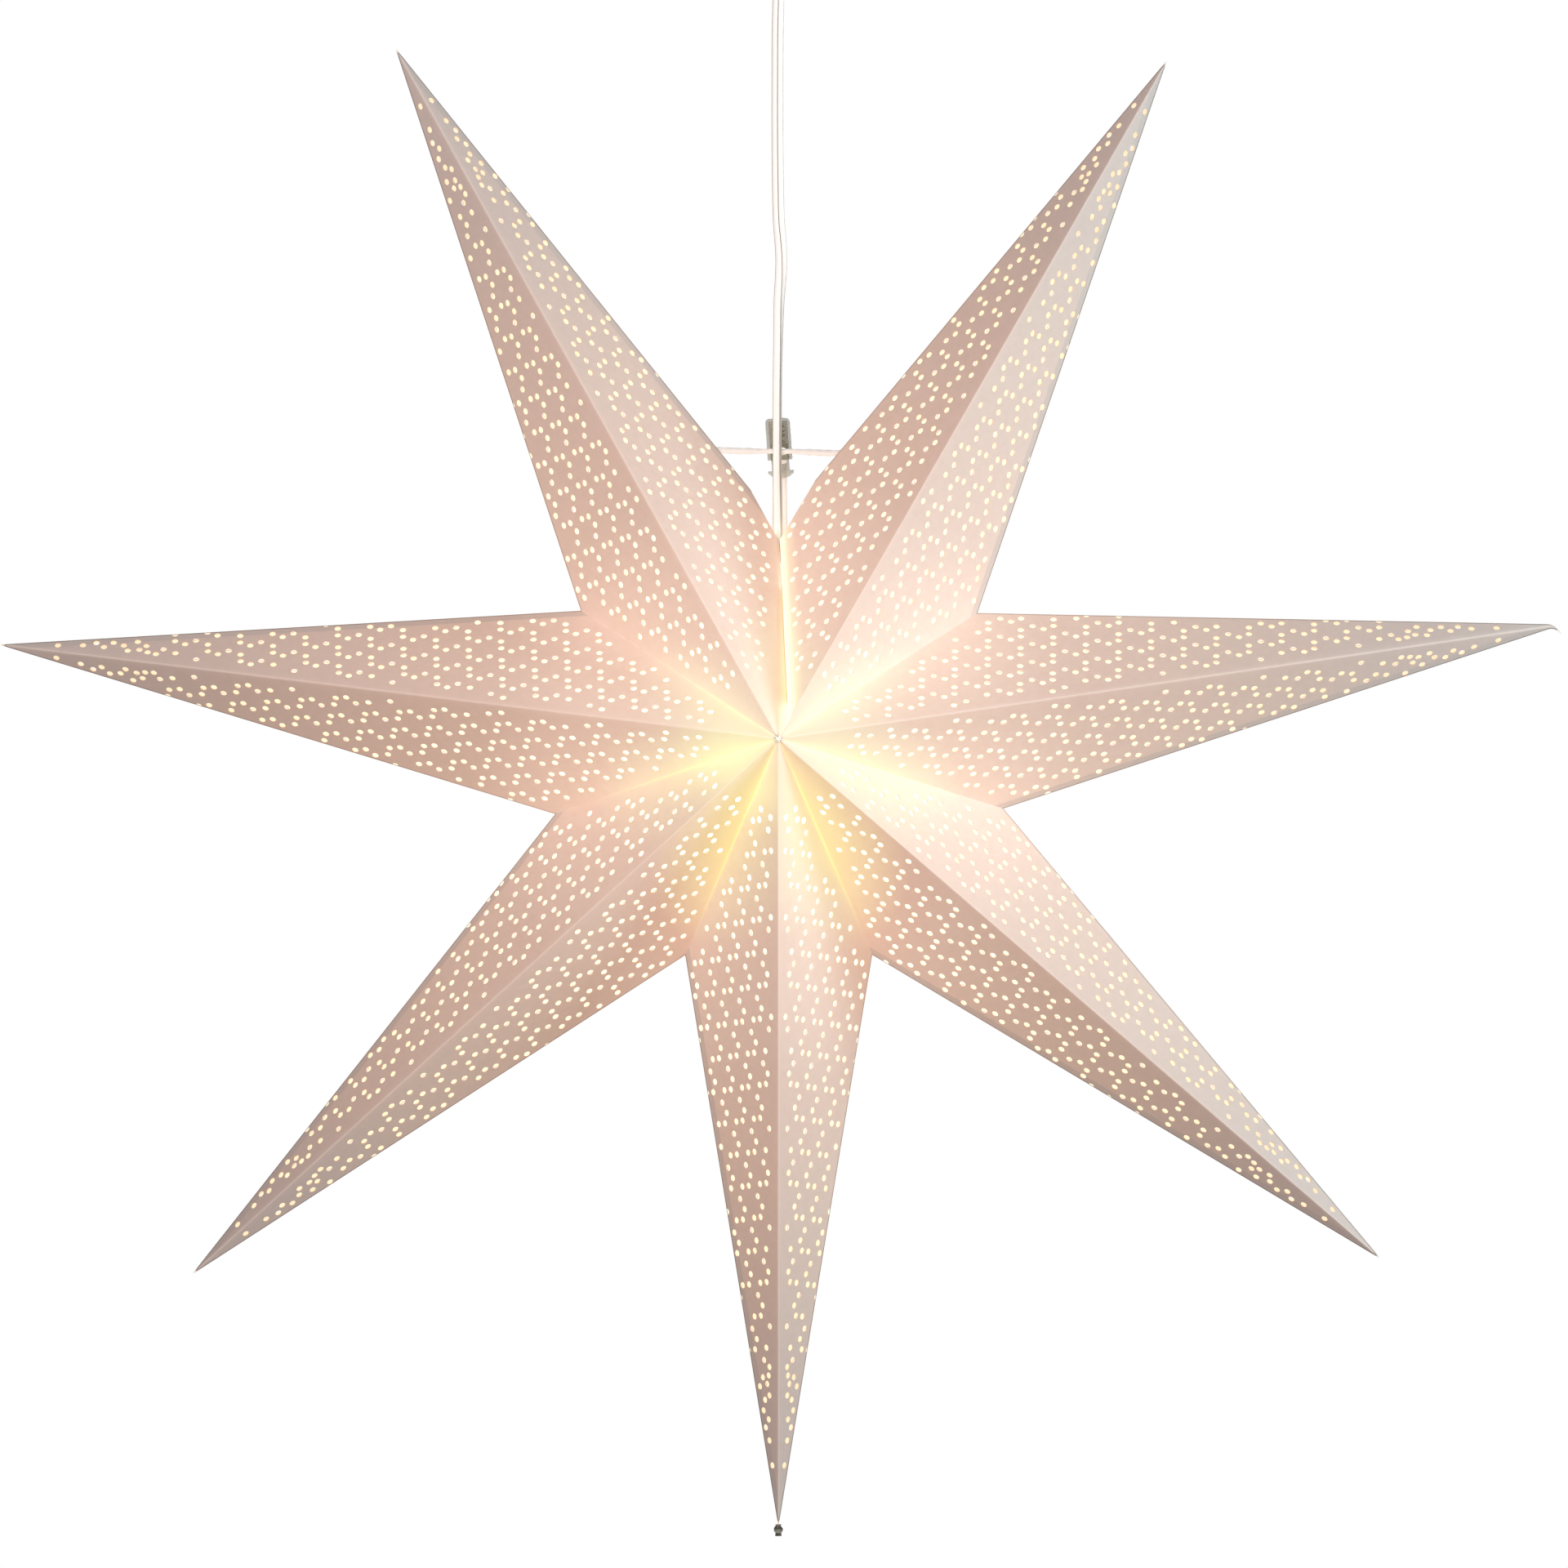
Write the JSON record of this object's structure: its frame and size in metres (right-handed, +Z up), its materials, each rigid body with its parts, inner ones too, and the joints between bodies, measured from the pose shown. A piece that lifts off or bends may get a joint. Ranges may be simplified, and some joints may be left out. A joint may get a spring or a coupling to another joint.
{
  "type": "hanging paper star lantern",
  "caption": "Lit hanging paper star: folded, perforated paper points around a screw-in lamp, tied at the seam with a string and spring cord lock, on a cord from a ceiling fitting.",
  "frame": {"origin": "centre of the ceiling fitting's flat top face, on the ceiling", "axes": "+Z up, +X to the right seen from the front, +Y backwards through the star's depth; the front faces -Y"},
  "size_m": [0.6864, 0.135, 0.7738],
  "materials": {
    "star_paper": "matte",
    "steel": "satin",
    "white_string": "matte",
    "clear_plastic": "gloss",
    "brass": "satin",
    "cord_plastic": "satin",
    "white_plastic": "satin",
    "nickel": "satin",
    "black_glass": "gloss",
    "bulb_glass": "gloss",
    "filament": "matte"
  },
  "bodies": {
    "ceiling_fitting": {"ceiling_plate": "steel", "ceiling_cup": "white_plastic", "cup_screw_left": "steel", "cup_screw_right": "steel", "terminal_block": "white_plastic", "cord_clamp": "steel"},
    "cord_sleeve": {"cord_sleeve": "cord_plastic"},
    "lamp": {"lamp_cord": "cord_plastic", "holder_strain_relief": "white_plastic", "holder_cap": "white_plastic", "holder_body": "white_plastic", "holder_shell": "brass", "holder_contact": "brass"},
    "bulb_contact": {"bulb_contact": "brass"},
    "bulb": {"bulb_glass": "bulb_glass", "bulb_cap": "nickel", "bulb_insulator": "black_glass", "bulb_stem": "bulb_glass", "bulb_filament": "filament"},
    "star": {"bottom_tip_bead": "steel", "point_1_back_left": "star_paper", "point_1_back_right": "star_paper", "point_1_front_left": "star_paper", "point_1_front_right": "star_paper", "point_2_back_left": "star_paper", "point_2_back_right": "star_paper", "point_2_front_left": "star_paper", "point_2_front_right": "star_paper", "point_3_back_left": "star_paper", "point_3_back_right": "star_paper", "point_3_front_left": "star_paper", "point_3_front_right": "star_paper", "point_4_back_left": "star_paper", "point_4_back_right": "star_paper", "point_4_front_left": "star_paper", "point_4_front_right": "star_paper", "point_5_back_left": "star_paper", "point_5_back_right": "star_paper", "point_5_front_left": "star_paper", "point_5_front_right": "star_paper", "point_6_back_left": "star_paper", "point_6_back_right": "star_paper", "point_6_front_left": "star_paper", "point_6_front_right": "star_paper", "point_7_back_left": "star_paper", "point_7_back_right": "star_paper", "point_7_front_left": "star_paper", "point_7_front_right": "star_paper", "seam_flap_back": "star_paper", "seam_flap_front": "star_paper", "tie_string_left": "white_string", "tie_string_right": "white_string"},
    "cord_lock": {"cord_lock_barrel": "clear_plastic", "cord_lock_spring": "brass"},
    "lock_plunger": {"cord_lock_plunger": "clear_plastic"}
  },
  "joints": [
    {"name": "swing_side", "type": "hinge", "parent": "ceiling_fitting", "child": "cord_sleeve", "pos_m": [0, 0, -0.0571], "axis": [0, 1, 0], "range_deg": [-12, 12]},
    {"name": "swing_fore_aft", "type": "hinge", "parent": "cord_sleeve", "child": "lamp", "pos_m": [0, 0, -0.083], "axis": [1, 0, 0], "range_deg": [-12, 12]},
    {"name": "star_turn", "type": "hinge", "parent": "lamp", "child": "star", "pos_m": [0, 0, -0.32], "axis": [0, 0, 1], "range_deg": [-180, 180]},
    {"name": "lock_slide", "type": "slide", "parent": "star", "child": "cord_lock", "axis": [0, 1, 0], "range_m": [0, 0.006]},
    {"name": "lock_press", "type": "slide", "parent": "cord_lock", "child": "lock_plunger", "axis": [-0.0698, 0, 0.9976], "range_m": [0, 0.004], "stiffness_N_per_m": 250, "springref_m": -0.002, "deforming": ["cord_lock_spring"]},
    {"name": "bulb_travel", "type": "slide", "parent": "lamp", "child": "bulb_contact", "axis": [0, 0, 1], "range_m": [-0.00846, 0]},
    {"name": "bulb_turn", "type": "hinge", "parent": "bulb_contact", "child": "bulb", "pos_m": [0, 0, -0.39], "axis": [0, 0, 1], "range_deg": [-1080, 0]}
  ],
  "couplings": [
    {"joint": "bulb_turn", "follows": "bulb_travel", "rad_per_m": 2226.5}
  ]
}
